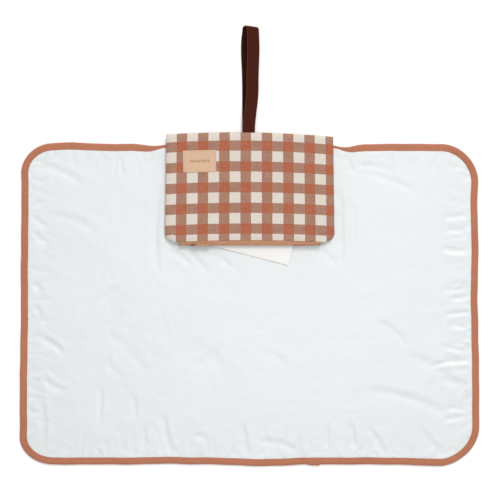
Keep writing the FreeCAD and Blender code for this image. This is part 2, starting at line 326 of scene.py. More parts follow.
# Longer creases of the laid mat: start, end, depth, half width, bow
CREASES = [
    ((325, 136), (285, 130), 0.7, 4, 2), ((325, 106), (290, 111), 0.6, 4, -2),
    ((326, 82), (283, 86), 1.1, 5, 3), ((325, 27), (288, 22), 0.6, 4, 2),
    ((325, 7), (296, 10), 0.5, 3.5, 0), ((325, -8), (290, -13), 0.6, 4, 2),
    ((325, -35), (294, -31), 0.6, 4, -2), ((326, -67), (286, -60), 0.7, 4, 3),
    ((327, -85), (268, -92), 1.2, 3.5, -3), ((325, -117), (284, -110), 0.7, 5, 2),
    ((325, -156), (290, -150), 0.7, 4, 2), ((322, -166), (286, -172), 0.6, 4, 0),
    ((-324, 131), (-300, 113), 0.6, 4, 0), ((-324, 104), (-298, 88), 0.6, 4, 2),
    ((-324, 67), (-300, 80), 0.5, 4, 0), ((-319, 32), (-314, 15), 0.7, 5, 3),
    ((-324, 2), (-310, -22), 0.6, 4, 2), ((-314, -48), (-276, -74), 1.1, 5, 3),
    ((-310, -104), (-270, -128), 0.8, 5, -6), ((-312, -140), (-311, -212), 1.3, 4.5, 4),
    ((-223, -117), (-225, -178), 0.7, 4, 2), ((-173, -132), (-170, -172), 0.6, 4, 0),
    ((-158, -180), (-161, -223), 0.7, 4, 2), ((-128, -160), (-114, -223), 1.2, 5, -4),
    ((-84, -196), (-62, -206), 0.6, 5, 5), ((-12, -174), (-7, -224), 0.8, 4, 2),
    ((8, -202), (76, -222), 0.6, 5, 6), ((117, -174), (114, -218), 0.7, 4, 0),
    ((152, -174), (157, -214), 1.1, 4.5, -2), ((174, -180), (200, -222), 0.8, 4.5, 2),
    ((253, -180), (289, -221), 0.7, 5, -4), ((-322, 206), (-246, 176), 0.8, 6, 8),
    ((-307, 136), (-222, 105), 0.7, 7, 6), ((144, 221), (155, 195), 0.7, 4, 0),
    ((154, 207), (215, 196), 0.7, 5, 4), ((164, 197), (249, 165), 0.7, 6, 5),
    ((-131, 188), (-137, 46), 0.9, 5, -5), ((-143, 170), (-146, 60), 0.5, 4, 3),
    ((130, 188), (134, 46), 0.8, 5, 4), ((152, 160), (148, 72), 0.5, 5, 4),
    ((-218, -40), (-154, -110), 0.6, 9, 9), ((-214, -72), (-186, -110), 0.4, 6, -7),
    ((-108, -54), (-32, -108), 0.6, 10, 10), ((-92, -92), (-44, -62), 0.4, 7, -6),
    ((16, -74), (60, -94), 0.5, 7, 6), ((-122, 82), (-86, 56), 0.7, 5, 3),
    ((-92, 84), (-60, 50), 0.6, 5, -3), ((-66, 76), (-30, 60), 0.5, 5, 3),
    ((-46, 66), (-14, 48), 0.4, 5, 2), ((184, -22), (235, -63), 0.7, 6, 5),
    ((164, -127), (299, -167), 0.8, 7, 9), ((224, -72), (329, -157), 0.9, 8, 16),
    ((-223, 0), (-194, 28), 0.6, 5, 3), ((-216, -36), (-189, -7), 0.6, 5, -3),
    ((40, -7), (4, -43), 0.35, 7, 4), ((96, 84), (128, 58), 0.6, 6, 4),
]


def under_pouch(x, y):
    """One where the pouch rests on the mat, fading to zero round it."""
    sides = ease((134 - np.abs(x)) / 12)
    return sides * ease((y - 84) / 14)


def crumple(x, y, size, seed):
    """Thin ridges and dents that run on and meet, as in a coated sheet."""
    raised = soft_noise(x, y, size, seed)
    sunk = soft_noise(x, y, size * 0.8, seed + 1)
    return np.maximum(0, 1 - np.abs(raised) * 3.2) ** 2 - 1.1 * np.maximum(0, 1 - np.abs(sunk) * 3.4) ** 2


def edge_crumples(x, y):
    """Crumples that run in from the sewn edges and from the pouch's sides."""
    ends = ease(1 - (332 - np.abs(x)) / 62)
    sides = ease(1 - (232 - np.abs(y)) / 48)
    beside = bump(np.abs(x), 138, 14) * ease((y - 20) / 60)
    below = bump(y, 66, 22) * ease((132 - np.abs(x)) / 30)
    total = ends * crumple(x / 2.3, y, 34, 61) + 0.85 * sides * crumple(x, y / 2.0, 30, 63)
    total += 0.6 * beside * crumple(x, y / 3.0, 18, 65) + 0.6 * below * crumple(x, y, 26, 67)
    quiet = 1 - np.maximum(np.maximum(ends, sides), np.maximum(beside, below))
    return 0.95 * total + 0.14 * quiet * crumple(x, y, 80, 69)


def edge_fall(x, y):
    """Slow fall of the sheet towards its sewn edges, deepest at the lower left."""
    left = ease(1 - (x + 330) / 70) * (0.7 + 0.5 * bump(y, -150, 90))
    right = ease(1 - (330 - x) / 60) * (0.35 + 0.4 * bump(y, -150, 80))
    low = ease(1 - (y + 230) / 62) * (0.6 + 0.5 * bump(x, -280, 90) + 0.3 * bump(x, 250, 100))
    high = ease(1 - (230 - y) / 50) * (0.3 + 0.4 * bump(x, -230, 90))
    return left + right + low + high


def wipe_path(x, y):
    """One where the wipe slides out over the sheet, fading to zero round it."""
    return ease((98 - np.abs(x)) / 16) * ease((y + 92) / 16)


def mat_relief(x, y):
    """Height of the laid sheet above or below its plain level."""
    u, v = x / MM, y / MM
    total = 0.26 * soft_noise(u, v, 120, 3) + 0.13 * soft_noise(u, v, 46, 5)
    total += 0.06 * soft_noise(u, v, 15, 8)
    for start, end, depth, reach, bow in CREASES:
        total += crease(u, v, start, end, (2.7 - 0.18 * reach) * depth, 0.85 * reach, bow)
    total += 1.1 * puckers(u, v)
    total += edge_crumples(u, v)
    total -= edge_fall(u, v)
    if sag is not None:
        total += sag(u, v)
    total = np.where(total > 0.3, 0.3 + 0.6 * np.tanh((total - 0.3) / 0.6), total)
    total = np.maximum(total, -2.1)
    total = total - np.maximum(total - 0.1, 0) * wipe_path(u, v)
    rest = under_pouch(u, v)
    return (total * (1 - rest) - 0.12 * rest) * MM


# Slack of the coated sheet, found by letting a cloth settle inside its binding

def settled_sheet():
    cell = 5 * MM
    half_x, half_y = HALF_LONG - BINDING, HALF_WIDE - BINDING
    sheet, plan = cloth("slack_sheet", lines(-half_x, half_x, cell), lines(-half_y, half_y, cell))
    points = plan.copy()
    points[:, 2] = 4.0 * MM + (0.35 * soft_noise(plan[:, 0] / MM, plan[:, 1] / MM, 70, 11)) * MM
    set_points(sheet, points)
    hold = sheet.vertex_groups.new(name="Held")
    edge = np.minimum(half_x - np.abs(plan[:, 0]), half_y - np.abs(plan[:, 1])) < 1 * MM
    pressed = (np.abs(plan[:, 0]) < FOLD_X) & (plan[:, 1] > 94 * MM)
    hold.add([int(i) for i in np.nonzero(edge | pressed)[0]], 1.0, "REPLACE")
    bpy.ops.mesh.primitive_plane_add(size=2, location=(0, 0, 1.2 * MM))
    table = newest("slack_table")
    table.modifiers.new("Touch", "COLLISION")
    table.collision.thickness_outer = 0.8 * MM
    modifier = sheet.modifiers.new("Cloth", "CLOTH")
    settings = modifier.settings
    settings.quality = 6
    settings.mass = 0.15
    settings.tension_stiffness = 40
    settings.compression_stiffness = 40
    settings.shear_stiffness = 20
    settings.bending_stiffness = 1.2
    settings.air_damping = 4
    settings.shrink_min = -0.006
    settings.vertex_group_mass = "Held"
    modifier.collision_settings.distance_min = 0.5 * MM
    modifier.point_cache.frame_start = 1
    modifier.point_cache.frame_end = 30
    for step in range(1, 27):
        bpy.context.scene.frame_set(step)
    only(sheet)
    bpy.ops.object.modifier_apply(modifier="Cloth")
    height = (points_of(sheet)[:, 2] / MM - 4.0).clip(-1.6, 1.4)
    columns = len(lines(-half_x, half_x, cell))
    grid = height.reshape(-1, columns)
    grid = grid - grid.mean()
    for _ in range(2):
        grid[1:-1, 1:-1] = (
            2 * grid[1:-1, 1:-1] + grid[:-2, 1:-1] + grid[2:, 1:-1] + grid[1:-1, :-2] + grid[1:-1, 2:]
        ) / 6
    only(sheet, table)
    bpy.ops.object.delete()
    bpy.context.scene.frame_set(1)

    def height_at(u, v):
        column = np.clip((u * MM + half_x) / (2 * half_x) * (grid.shape[1] - 1), 0, grid.shape[1] - 1.001)
        row = np.clip((v * MM + half_y) / (2 * half_y) * (grid.shape[0] - 1), 0, grid.shape[0] - 1.001)
        i, j = row.astype(int), column.astype(int)
        p, q = row - i, column - j
        near = grid[i, j] * (1 - q) + grid[i, j + 1] * q
        far = grid[i + 1, j] * (1 - q) + grid[i + 1, j + 1] * q
        return 0.8 * (near * (1 - p) + far * p)

    return height_at


sag = settled_sheet()


# Materials

LIGHT = 1.07


def linear(channel):
    channel = channel / 255
    return channel / 12.92 if channel <= 0.04045 else ((channel + 0.055) / 1.055) ** 2.4


def paint(red, green, blue):
    """Surface colour that shows as this shade under the studio's light."""
    return (*(min(linear(c) / LIGHT, 0.95) for c in (red, green, blue)), 1.0)


def put(tree, kind, links=None, **settings):
    node = tree.nodes.new(kind)
    for name, value in settings.items():
        setattr(node, name, value)
    for name, value in (links or {}).items():
        if isinstance(value, bpy.types.NodeSocket):
            tree.links.new(value, node.inputs[name])
        else:
            node.inputs[name].default_value = value
    return node


def calc(tree, operation, first, second=0.0, third=0.0):
    links = {0: first, 1: second, 2: third}
    return put(tree, "ShaderNodeMath", links, operation=operation).outputs[0]


def blended(tree, factor, first, second, kind="MIX"):
    node = put(tree, "ShaderNodeMix", data_type="RGBA", blend_type=kind)
    for index, value in ((0, factor), (6, first), (7, second)):
        if isinstance(value, bpy.types.NodeSocket):
            tree.links.new(value, node.inputs[index])
        else:
            node.inputs[index].default_value = value
    return node.outputs[2]


def effect(name, inputs, outputs):
    """Empty shader group with its sockets, and the nodes at its two ends."""
    tree = bpy.data.node_groups.new(name, "ShaderNodeTree")
    for socket, kind, value in inputs:
        made = tree.interface.new_socket(socket, in_out="INPUT", socket_type=kind)
        if value is not None:
            made.default_value = value
    for socket, kind in outputs:
        tree.interface.new_socket(socket, in_out="OUTPUT", socket_type=kind)
    return tree, tree.nodes.new("NodeGroupInput"), tree.nodes.new("NodeGroupOutput")


def use(tree, group, **links):
    node = put(tree, "ShaderNodeGroup", node_tree=group)
    for name, value in links.items():
        socket = node.inputs[name.replace("_", " ")]
        if isinstance(value, bpy.types.NodeSocket):
            tree.links.new(value, socket)
        else:
            socket.default_value = value
    return node.outputs


FLOAT, VECTOR = "NodeSocketFloat", "NodeSocketVector"


def plain_weave():
    """Over-and-under threads, with slubs that vary from thread to thread."""
    tree, start, end = effect(
        "plain_weave",
        [("Vector", VECTOR, None), ("Pitch", FLOAT, 0.0006)],
        [("Height", FLOAT), ("Fleck", FLOAT)],
    )
    parts = put(tree, "ShaderNodeSeparateXYZ", {0: start.outputs["Vector"]})
    u = calc(tree, "DIVIDE", parts.outputs[0], start.outputs["Pitch"])
    v = calc(tree, "DIVIDE", parts.outputs[1], start.outputs["Pitch"])
    cell = calc(tree, "ADD", calc(tree, "FLOOR", u), calc(tree, "FLOOR", v))
    over = calc(tree, "FLOORED_MODULO", cell, 2.0)
    warp = calc(tree, "ABSOLUTE", calc(tree, "SINE", calc(tree, "MULTIPLY", u, math.pi)))
    weft = calc(tree, "ABSOLUTE", calc(tree, "SINE", calc(tree, "MULTIPLY", v, math.pi)))
    high = calc(tree, "ADD", calc(tree, "MULTIPLY", warp, over),
                calc(tree, "MULTIPLY", weft, calc(tree, "SUBTRACT", 1.0, over)))
    tree.links.new(high, end.inputs["Height"])
    long_way = put(tree, "ShaderNodeCombineXYZ", {0: calc(tree, "MULTIPLY", parts.outputs[0], 60.0),
                                                  1: calc(tree, "MULTIPLY", parts.outputs[1], 1100.0)})
    cross_way = put(tree, "ShaderNodeCombineXYZ", {0: calc(tree, "MULTIPLY", parts.outputs[0], 1100.0),
                                                   1: calc(tree, "MULTIPLY", parts.outputs[1], 60.0)})
    slubs = [
        put(tree, "ShaderNodeTexNoise", {"Vector": way.outputs[0], "Scale": 1.0, "Detail": 2.0})
        for way in (long_way, cross_way)
    ]
    fleck = calc(tree, "MULTIPLY", calc(tree, "ADD", slubs[0].outputs[0], slubs[1].outputs[0]), 0.5)
    tree.links.new(fleck, end.inputs["Fleck"])
    return tree


def twill():
    """Diagonal ribs of a tight band, broken up a little."""
    tree, start, end = effect(
        "twill",
        [("Vector", VECTOR, None), ("Pitch", FLOAT, 0.0009), ("Slant", FLOAT, 1.0)],
        [("Height", FLOAT), ("Fleck", FLOAT)],
    )
    parts = put(tree, "ShaderNodeSeparateXYZ", {0: start.outputs["Vector"]})
    rub = put(tree, "ShaderNodeTexNoise", {"Vector": start.outputs["Vector"], "Scale": 900.0, "Detail": 3.0})
    diagonal = calc(tree, "MULTIPLY_ADD", parts.outputs[0], start.outputs["Slant"], parts.outputs[1])
    turns = calc(tree, "DIVIDE", diagonal, start.outputs["Pitch"])
    turns = calc(tree, "MULTIPLY_ADD", rub.outputs[0], 0.35, turns)
    rib = calc(tree, "MULTIPLY_ADD", calc(tree, "SINE", calc(tree, "MULTIPLY", turns, math.tau)), 0.5, 0.5)
    tree.links.new(rib, end.inputs["Height"])
    tree.links.new(rub.outputs[0], end.inputs["Fleck"])
    return tree


def cloudy():
    """Slow change of shade over a surface, in two sizes."""
    tree, start, end = effect(
        "cloudy",
        [("Vector", VECTOR, None), ("Size", FLOAT, 0.08), ("Strength", FLOAT, 0.1)],
        [("Shade", FLOAT), ("Fine", FLOAT)],
    )
    scale = calc(tree, "DIVIDE", 1.0, start.outputs["Size"])
    wide = put(tree, "ShaderNodeTexNoise", {"Vector": start.outputs["Vector"], "Scale": scale, "Detail": 2.0})
    fine = put(tree, "ShaderNodeTexNoise", {"Vector": start.outputs["Vector"], "Detail": 3.0,
                                            "Scale": calc(tree, "MULTIPLY", scale, 9.0)})
    both = calc(tree, "MULTIPLY_ADD", fine.outputs[0], 0.4, calc(tree, "MULTIPLY", wide.outputs[0], 0.6))
    spread = calc(tree, "SUBTRACT", both, 0.5)
    shade = calc(tree, "MULTIPLY_ADD", spread, calc(tree, "MULTIPLY", start.outputs["Strength"], 2.0), 1.0)
    tree.links.new(shade, end.inputs["Shade"])
    tree.links.new(fine.outputs[0], end.inputs["Fine"])
    return tree


def hide_grain():
    """Pores and soft cells of leather."""
    tree, start, end = effect(
        "hide_grain",
        [("Vector", VECTOR, None), ("Size", FLOAT, 0.0009)],
        [("Height", FLOAT), ("Shade", FLOAT)],
    )
    scale = calc(tree, "DIVIDE", 1.0, start.outputs["Size"])
    cells = put(tree, "ShaderNodeTexVoronoi", {"Vector": start.outputs["Vector"], "Scale": scale},
                feature="DISTANCE_TO_EDGE")
    pores = put(tree, "ShaderNodeTexNoise", {"Vector": start.outputs["Vector"], "Detail": 4.0,
                                             "Scale": calc(tree, "MULTIPLY", scale, 2.3)})
    soft = calc(tree, "SMOOTH_MIN", calc(tree, "MULTIPLY", cells.outputs[0], 4.0), 1.0, 0.3)
    high = calc(tree, "MULTIPLY_ADD", pores.outputs[0], 0.5, calc(tree, "MULTIPLY", soft, 0.6))
    tree.links.new(high, end.inputs["Height"])
    tree.links.new(calc(tree, "MULTIPLY_ADD", high, 0.28, 0.8), end.inputs["Shade"])
    return tree


WEAVE, TWILL, CLOUDY, GRAIN = plain_weave(), twill(), cloudy(), hide_grain()


def new_finish(name, roughness, specular=0.5, metallic=0.0, sheen=0.0, mapped=True, coat=0.0):
    """Material with its shader, and the cut plan or place that its pattern reads."""
    material = bpy.data.materials.new(name)
    material.use_nodes = True
    tree = material.node_tree
    shader = tree.nodes["Principled BSDF"]
    shader.inputs["Roughness"].default_value = roughness
    shader.inputs["Specular IOR Level"].default_value = specular
    shader.inputs["Metallic"].default_value = metallic
    shader.inputs["Sheen Weight"].default_value = sheen
    shader.inputs["Sheen Roughness"].default_value = 0.45
    shader.inputs["Coat Weight"].default_value = coat
    if mapped:
        place = put(tree, "ShaderNodeUVMap", uv_map="Cut").outputs[0]
    else:
        place = put(tree, "ShaderNodeTexCoord").outputs["Object"]
    return material, tree, shader, place


def colour_in(tree, shader, colour, shade=None):
    """Colours the shader, its shade varied by a value round one."""
    if shade is not None:
        grey = put(tree, "ShaderNodeCombineColor", {0: shade, 1: shade, 2: shade}).outputs[0]
        colour = blended(tree, 1.0, colour, grey, "MULTIPLY")
    tree.links.new(colour, shader.inputs["Base Color"])


def emboss(tree, shader, height, depth, strength=1.0):
    node = put(tree, "ShaderNodeBump", {"Height": height, "Strength": strength, "Distance": depth})
    tree.links.new(node.outputs[0], shader.inputs["Normal"])


def vary_roughness(tree, shader, value, low, high):
    spread = put(tree, "ShaderNodeMapRange", {"Value": value, "To Min": low, "To Max": high})
    tree.links.new(spread.outputs[0], shader.inputs["Roughness"])


def coated_cloth():
    """White wipe-clean sheet: satin film over fine knit."""
    material, tree, shader, place = new_finish("coated_cloth", 0.42, 0.42, coat=0.06)
    cloud = use(tree, CLOUDY, Vector=place, Size=0.11, Strength=0.035)
    knit = use(tree, TWILL, Vector=place, Pitch=0.0011, Slant=0.6)
    colour_in(tree, shader, paint(237, 241, 242), cloud["Shade"])
    vary_roughness(tree, shader, cloud["Fine"], 0.36, 0.5)
    emboss(tree, shader, knit["Height"], 0.00003, 0.5)
    return material


def gingham():
    """Woven check in cream and terracotta, its crossings deepest."""
    material, tree, shader, place = new_finish("gingham", 0.82, 0.25, sheen=0.12)
    wander = put(tree, "ShaderNodeTexNoise", {"Vector": place, "Scale": 260.0, "Detail": 3.0})
    nudge = calc(tree, "MULTIPLY", calc(tree, "SUBTRACT", wander.outputs[0], 0.5), 0.0011)
    parts = put(tree, "ShaderNodeSeparateXYZ", {0: place})
    bands = []
    for axis, pitch, cream_from in ((0, 0.0315, -0.1239), (1, 0.0309, 0.0882)):
        place_in = calc(tree, "SUBTRACT", calc(tree, "ADD", parts.outputs[axis], nudge), cream_from)
        share = calc(tree, "FLOORED_MODULO", calc(tree, "DIVIDE", place_in, pitch), 1.0)
        up = put(tree, "ShaderNodeMapRange", {"Value": share, "From Min": 0.492, "From Max": 0.508})
        down = put(tree, "ShaderNodeMapRange", {"Value": share, "From Min": 0.984, "From Max": 1.0,
                                                "To Min": 1.0, "To Max": 0.0})
        bands.append(calc(tree, "MULTIPLY", up.outputs[0], down.outputs[0]))
    weave = use(tree, WEAVE, Vector=place, Pitch=0.00052)
    cloud = use(tree, CLOUDY, Vector=place, Size=0.05, Strength=0.06)
    either = calc(tree, "MAXIMUM", *bands)
    crossing = calc(tree, "MULTIPLY", *bands)
    single = blended(tree, either, paint(231, 220, 208), paint(175, 131, 110))
    colour = blended(tree, crossing, single, paint(183, 105, 78))
    heather = calc(tree, "MULTIPLY_ADD", calc(tree, "SUBTRACT", weave["Fleck"], 0.5),
                   calc(tree, "MULTIPLY_ADD", either, 1.0, 0.3), 1.0)
    shade = calc(tree, "MULTIPLY", heather, cloud["Shade"])
    colour_in(tree, shader, colour, shade)
    emboss(tree, shader, weave["Height"], 0.00012, 0.7)
    return material


def bias_binding():
    """Terracotta cotton band with fine diagonal ribs."""
    material, tree, shader, place = new_finish("bias_binding", 0.78, 0.3, sheen=0.15)
    ribs = use(tree, TWILL, Vector=place, Pitch=0.00085, Slant=1.0)
    cloud = use(tree, CLOUDY, Vector=place, Size=0.035, Strength=0.13)
    rub = calc(tree, "MULTIPLY_ADD", ribs["Fleck"], 0.26, 0.87)
    shade = calc(tree, "MULTIPLY", rub, cloud["Shade"])
    deep = blended(tree, ribs["Height"], paint(180, 113, 85), paint(205, 134, 103))
    colour_in(tree, shader, deep, shade)
    emboss(tree, shader, ribs["Height"], 0.00013, 0.8)
    return material


def woven_tape():
    """Zip tape: ribs along its length."""
    material, tree, shader, place = new_finish("woven_tape", 0.76, 0.3, sheen=0.1)
    weave = use(tree, WEAVE, Vector=place, Pitch=0.00075)
    cloud = use(tree, CLOUDY, Vector=place, Size=0.02, Strength=0.1)
    rub = calc(tree, "MULTIPLY_ADD", weave["Fleck"], 0.4, 0.8)
    colour_in(tree, shader, paint(198, 144, 110), calc(tree, "MULTIPLY", rub, cloud["Shade"]))
    emboss(tree, shader, weave["Height"], 0.00015, 0.8)
    return material


def moulded_nylon():
    """Zip teeth: smooth nylon, paler where it rubs."""
    material, tree, shader, place = new_finish("moulded_nylon", 0.4, 0.5, mapped=False)
    cloud = use(tree, CLOUDY, Vector=place, Size=0.004, Strength=0.16)
    colour_in(tree, shader, paint(190, 128, 88), cloud["Shade"])
    vary_roughness(tree, shader, cloud["Fine"], 0.3, 0.55)
    emboss(tree, shader, cloud["Fine"], 0.00005, 0.4)
    return material


def aged_brass():
    """Dark brass of the slider, worn brighter in patches."""
    material, tree, shader, place = new_finish("aged_brass", 0.36, 0.5, metallic=0.85, mapped=False)
    rub = put(tree, "ShaderNodeTexNoise", {"Vector": place, "Scale": 700.0, "Detail": 5.0})
    worn = put(tree, "ShaderNodeMapRange", {"Value": rub.outputs[0], "From Min": 0.42, "From Max": 0.66})
    colour = blended(tree, worn.outputs[0], (0.13, 0.075, 0.045, 1), (0.34, 0.21, 0.13, 1))
    colour_in(tree, shader, colour)
    vary_roughness(tree, shader, rub.outputs[0], 0.26, 0.58)
    emboss(tree, shader, rub.outputs[0], 0.00006, 0.5)
    return material


def leather(name, colour, dark, size, roughness, mapped=True, specular=0.35, marked=False):
    """Leather in one shade, deeper in its pores."""
    material, tree, shader, place = new_finish(name, roughness, specular, mapped=mapped)
    grain = use(tree, GRAIN, Vector=place, Size=size)
    cloud = use(tree, CLOUDY, Vector=place, Size=0.03, Strength=0.12)
    tone = blended(tree, grain["Height"], paint(*dark), paint(*colour))
    if marked:
        mark = put(tree, "ShaderNodeAttribute", attribute_name="pressed").outputs["Fac"]
        tone = blended(tree, calc(tree, "MULTIPLY", mark, 0.75), tone, paint(176, 122, 88))
    colour_in(tree, shader, tone, cloud["Shade"])
    vary_roughness(tree, shader, grain["Height"], roughness + 0.1, roughness - 0.06)
    emboss(tree, shader, grain["Height"], 0.00012, 0.7)
    return material


def wipe_tissue():
    """Soft nonwoven of the wipe: laid fibres with small dimples."""
    material, tree, shader, place = new_finish("wipe_tissue", 0.9, 0.2, sheen=0.1)
    fibre = put(tree, "ShaderNodeTexNoise",
                {"Vector": place, "Scale": 850.0, "Detail": 5.0, "Distortion": 1.4})
    dimples = put(tree, "ShaderNodeTexVoronoi", {"Vector": place, "Scale": 420.0}, feature="SMOOTH_F1")
    high = calc(tree, "MULTIPLY_ADD", dimples.outputs[0], 0.5, fibre.outputs[0])
    colour_in(tree, shader, paint(252, 251, 247), calc(tree, "MULTIPLY_ADD", fibre.outputs[0], 0.07, 0.96))
    emboss(tree, shader, high, 0.00012, 0.6)
    return material


def sewing_thread(name, colour):
    material, tree, shader, place = new_finish(name, 0.62, 0.35, sheen=0.1)
    ply = put(tree, "ShaderNodeTexWave", {"Vector": place, "Scale": 520.0, "Distortion": 0.6},
              bands_direction="DIAGONAL")
    colour_in(tree, shader, paint(*colour), calc(tree, "MULTIPLY_ADD", ply.outputs[1], 0.25, 0.82))
    emboss(tree, shader, ply.outputs[1], 0.00008, 0.6)
    return material


COATED, CHECK, BAND = coated_cloth(), gingham(), bias_binding()
TAPE, NYLON, BRASS = woven_tape(), moulded_nylon(), aged_brass()
TAN = leather("tan_hide", (230, 196, 164), (208, 168, 134), 0.0011, 0.5, marked=True)
BROWN = leather("brown_hide", (82, 33, 18), (54, 19, 9), 0.0010, 0.55, specular=0.07)
# Rough flesh side of the strap, its colour darkened with painted shade, as the lower layer lies in the upper
# layer's shade
FLESH_PAINTED_SHADE = leather("flesh_side_painted_shade", (52, 24, 15), (34, 14, 8), 0.0007, 0.8, specular=0.05)
# Cut edges of the strap: raw hide paler than the face, made paler still with a painted highlight
CUT_EDGE_PAINTED_HIGHLIGHT = leather("cut_hide_painted_highlight", (146, 88, 62), (98, 52, 36), 0.0006, 0.7, specular=0.12)
TAB = leather("tab_hide", (206, 158, 122), (168, 120, 88), 0.0009, 0.5, mapped=False)
TISSUE = wipe_tissue()
BAND_THREAD = sewing_thread("binding_thread", (216, 152, 122))
TAN_THREAD = sewing_thread("label_thread", (212, 166, 132))


def dress(piece, *materials):
    piece.data.materials.clear()
    for material in materials:
        piece.data.materials.append(material)


# Mat: one padded sheet, cut in two at the middle

# Insets of the cloth lines at the rim, and how high the two faces lie there, in mm
RIM = [0, 0.5, 1.3, 2.8, 5.3, 7.8, 10.4, 11.6]
TOP_HEIGHT = [2.3, 2.85, 3.2, 3.45, 3.5, 3.2, 3.3, 3.62, 3.86, 4.0]
LOW_HEIGHT = [1.7, 1.2, 0.9, 0.72, 0.7, 0.74, 0.7, 0.3, 0.02]
across = edged_lines(HALF_LONG, RIM, 2.55 * MM)
along = edged_lines(HALF_WIDE, RIM, 2.55 * MM)
mat, plan = cloth("mat", across, along)
inset = mat_inset(plan[:, 0], plan[:, 1]) / MM
lie_x, lie_y = mat_outline(plan[:, 0], plan[:, 1])
draw_in = 1 - 0.7 * np.clip(1 - inset / 10.4, 0, 1) * MM / np.maximum(np.hypot(lie_x, lie_y), 0.1)
lie_x, lie_y = lie_x * draw_in, lie_y * draw_in
relief = mat_relief(lie_x, lie_y)
top_rim = np.interp(inset, RIM + [15, 22], TOP_HEIGHT)
low_rim = np.interp(inset, RIM + [16], LOW_HEIGHT)
free = np.clip((inset - 3) / 9, 0, 1)
dress(mat, COATED, CHECK)
finish_with(mat, "SOLIDIFY", thickness=MAT_THICK, offset=-1, material_offset=1, material_offset_rim=1)
count = len(plan)
points = points_of(mat)
top_z = top_rim * MM + relief * free
points[:count] = np.stack([lie_x, lie_y, top_z], 1)
under_z = low_rim * MM + np.maximum(0, 0.3 * MM + 0.35 * relief) * free * 0.5
points[count:] = np.stack([lie_x, lie_y, under_z], 1)
set_points(mat, points)
full_plan = np.concatenate([plan, plan * [-1, 1, 1]])
lay_map(mat, full_plan)
smooth(mat)
full_inset = np.concatenate([inset, inset])

# Binding: the rim's own faces, lifted off it and given the band's thickness
binding = copied(mat, "binding")
face_inset = np.array([full_inset[list(p.vertices)].mean() for p in binding.data.polygons])
dress(binding, BAND)
drop_faces(binding, lambda middles: face_inset > 10.5)


def capped(piece):
    """Closes the cut at the middle, its edge kept sharp."""
    bpy.context.tool_settings.mesh_select_mode = (False, True, False)
    in_edit(
        piece,
        lambda: bpy.ops.mesh.select_all(action="DESELECT"),
        lambda: bpy.ops.mesh.select_non_manifold(extend=False),
        lambda: bpy.ops.mesh.mark_sharp(),
        lambda: bpy.ops.mesh.edge_face_add(),
    )


def keep_normals(piece):
    """Remembers how the whole surface faces, for use after it is cut."""
    flat = np.empty(len(piece.data.vertices) * 3, np.float32)
    piece.data.vertex_normals.foreach_get("vector", flat)
    piece.data.attributes.new("lie", "FLOAT_VECTOR", "POINT").data.foreach_set("vector", flat)


def restore_normals(piece, cap_side):
    """Gives the surface back the way it faced, and the cap its own side."""
    mesh = piece.data
    flat = np.empty(len(mesh.vertices) * 3, np.float32)
    mesh.attributes["lie"].data.foreach_get("vector", flat)
    facing = flat.reshape(-1, 3)
    loops = np.empty(len(mesh.loops), int)
    mesh.loops.foreach_get("vertex_index", loops)
    custom = facing[loops]
    for face in mesh.polygons:
        if face.loop_total > 4:
            custom[face.loop_start:face.loop_start + face.loop_total] = (cap_side, 0, 0)
    mesh.attributes.remove(mesh.attributes["lie"])
    mesh.normals_split_custom_set(custom.tolist())


keep_normals(mat)
mat_left = copied(mat, "mat_left")
drop_faces(mat_left, lambda middles: middles[:, 0] > 0)
mat_right = copied(mat, "mat_right")
drop_faces(mat_right, lambda middles: middles[:, 0] < 0)
only(mat)
bpy.ops.object.delete()
for half, cap_side in ((mat_left, 1), (mat_right, -1)):
    capped(half)
    restore_normals(half, cap_side)

# The band's two lengths meet near the bottom, one lapped over the other
LAP_LOW, LAP_HIGH = 91 * MM, 103 * MM
LAP_LIFT = 0.75
binding_left = copied(binding, "binding_left")
drop_faces(binding_left, lambda m: (m[:, 0] > LAP_HIGH) | ((m[:, 0] > 0) & (m[:, 1] > 0)))
binding_right = copied(binding, "binding_right")
drop_faces(binding_right, lambda m: ((m[:, 0] < LAP_LOW) & (m[:, 1] < 0)) | ((m[:, 0] < 0) & (m[:, 1] > 0)))
only(binding)
bpy.ops.object.delete()
points = points_of(binding_left)
lap = ease((points[:, 0] / MM - 84) / 7) * (points[:, 1] < 0)
lift = np.where(points[:, 2] > 2 * MM, LAP_LIFT, 0) * MM
points[:, 2] += lap * lift
points[:, 1] -= lap * 1.5 * MM * np.clip((points[:, 1] / MM + 226) / -6, 0.3, 1)
set_points(binding_left, points)
for band in (binding_left, binding_right):
    finish_with(band, "SOLIDIFY", thickness=0.65 * MM, offset=1, use_even_offset=True)
    smooth(band, 60)


# Sewing

def edge_path(distance, inset):
    """Point and heading on the binding, a distance round it from the bottom middle."""
    distance = np.asarray(distance, float)
    x, y = np.zeros_like(distance), np.zeros_like(distance)
    head_x, head_y = np.zeros_like(distance), np.zeros_like(distance)
    hx, hy = HALF_LONG - inset, HALF_WIDE - inset
    rl, rr = LEFT_CORNER - inset, RIGHT_CORNER - inset
    at = 0.0
    runs = [
        ("line", (0, -hy), (1, 0), hx - rr), ("arc", (hx - rr, -hy + rr), -90, rr),
        ("line", (hx, -hy + rr), (0, 1), 2 * (hy - rr)), ("arc", (hx - rr, hy - rr), 0, rr),
        ("line", (hx - rr, hy), (-1, 0), 2 * hx - rl - rr), ("arc", (-hx + rl, hy - rl), 90, rl),
        ("line", (-hx, hy - rl), (0, -1), 2 * (hy - rl)), ("arc", (-hx + rl, -hy + rl), 180, rl),
        ("line", (-hx + rl, -hy), (1, 0), hx - rl),
    ]
    for kind, origin, way, size in runs:
        length = size if kind == "line" else size * math.pi / 2
        here = (distance >= at) & (distance <= at + length)
        along_run = distance[here] - at
        if kind == "line":
            x[here], y[here] = origin[0] + way[0] * along_run, origin[1] + way[1] * along_run
            head_x[here], head_y[here] = way
        else:
            turn = math.radians(way) + along_run / size
            x[here], y[here] = origin[0] + size * np.cos(turn), origin[1] + size * np.sin(turn)
            head_x[here], head_y[here] = -np.sin(turn), np.cos(turn)
        at += length
    return x, y, head_x, head_y, at


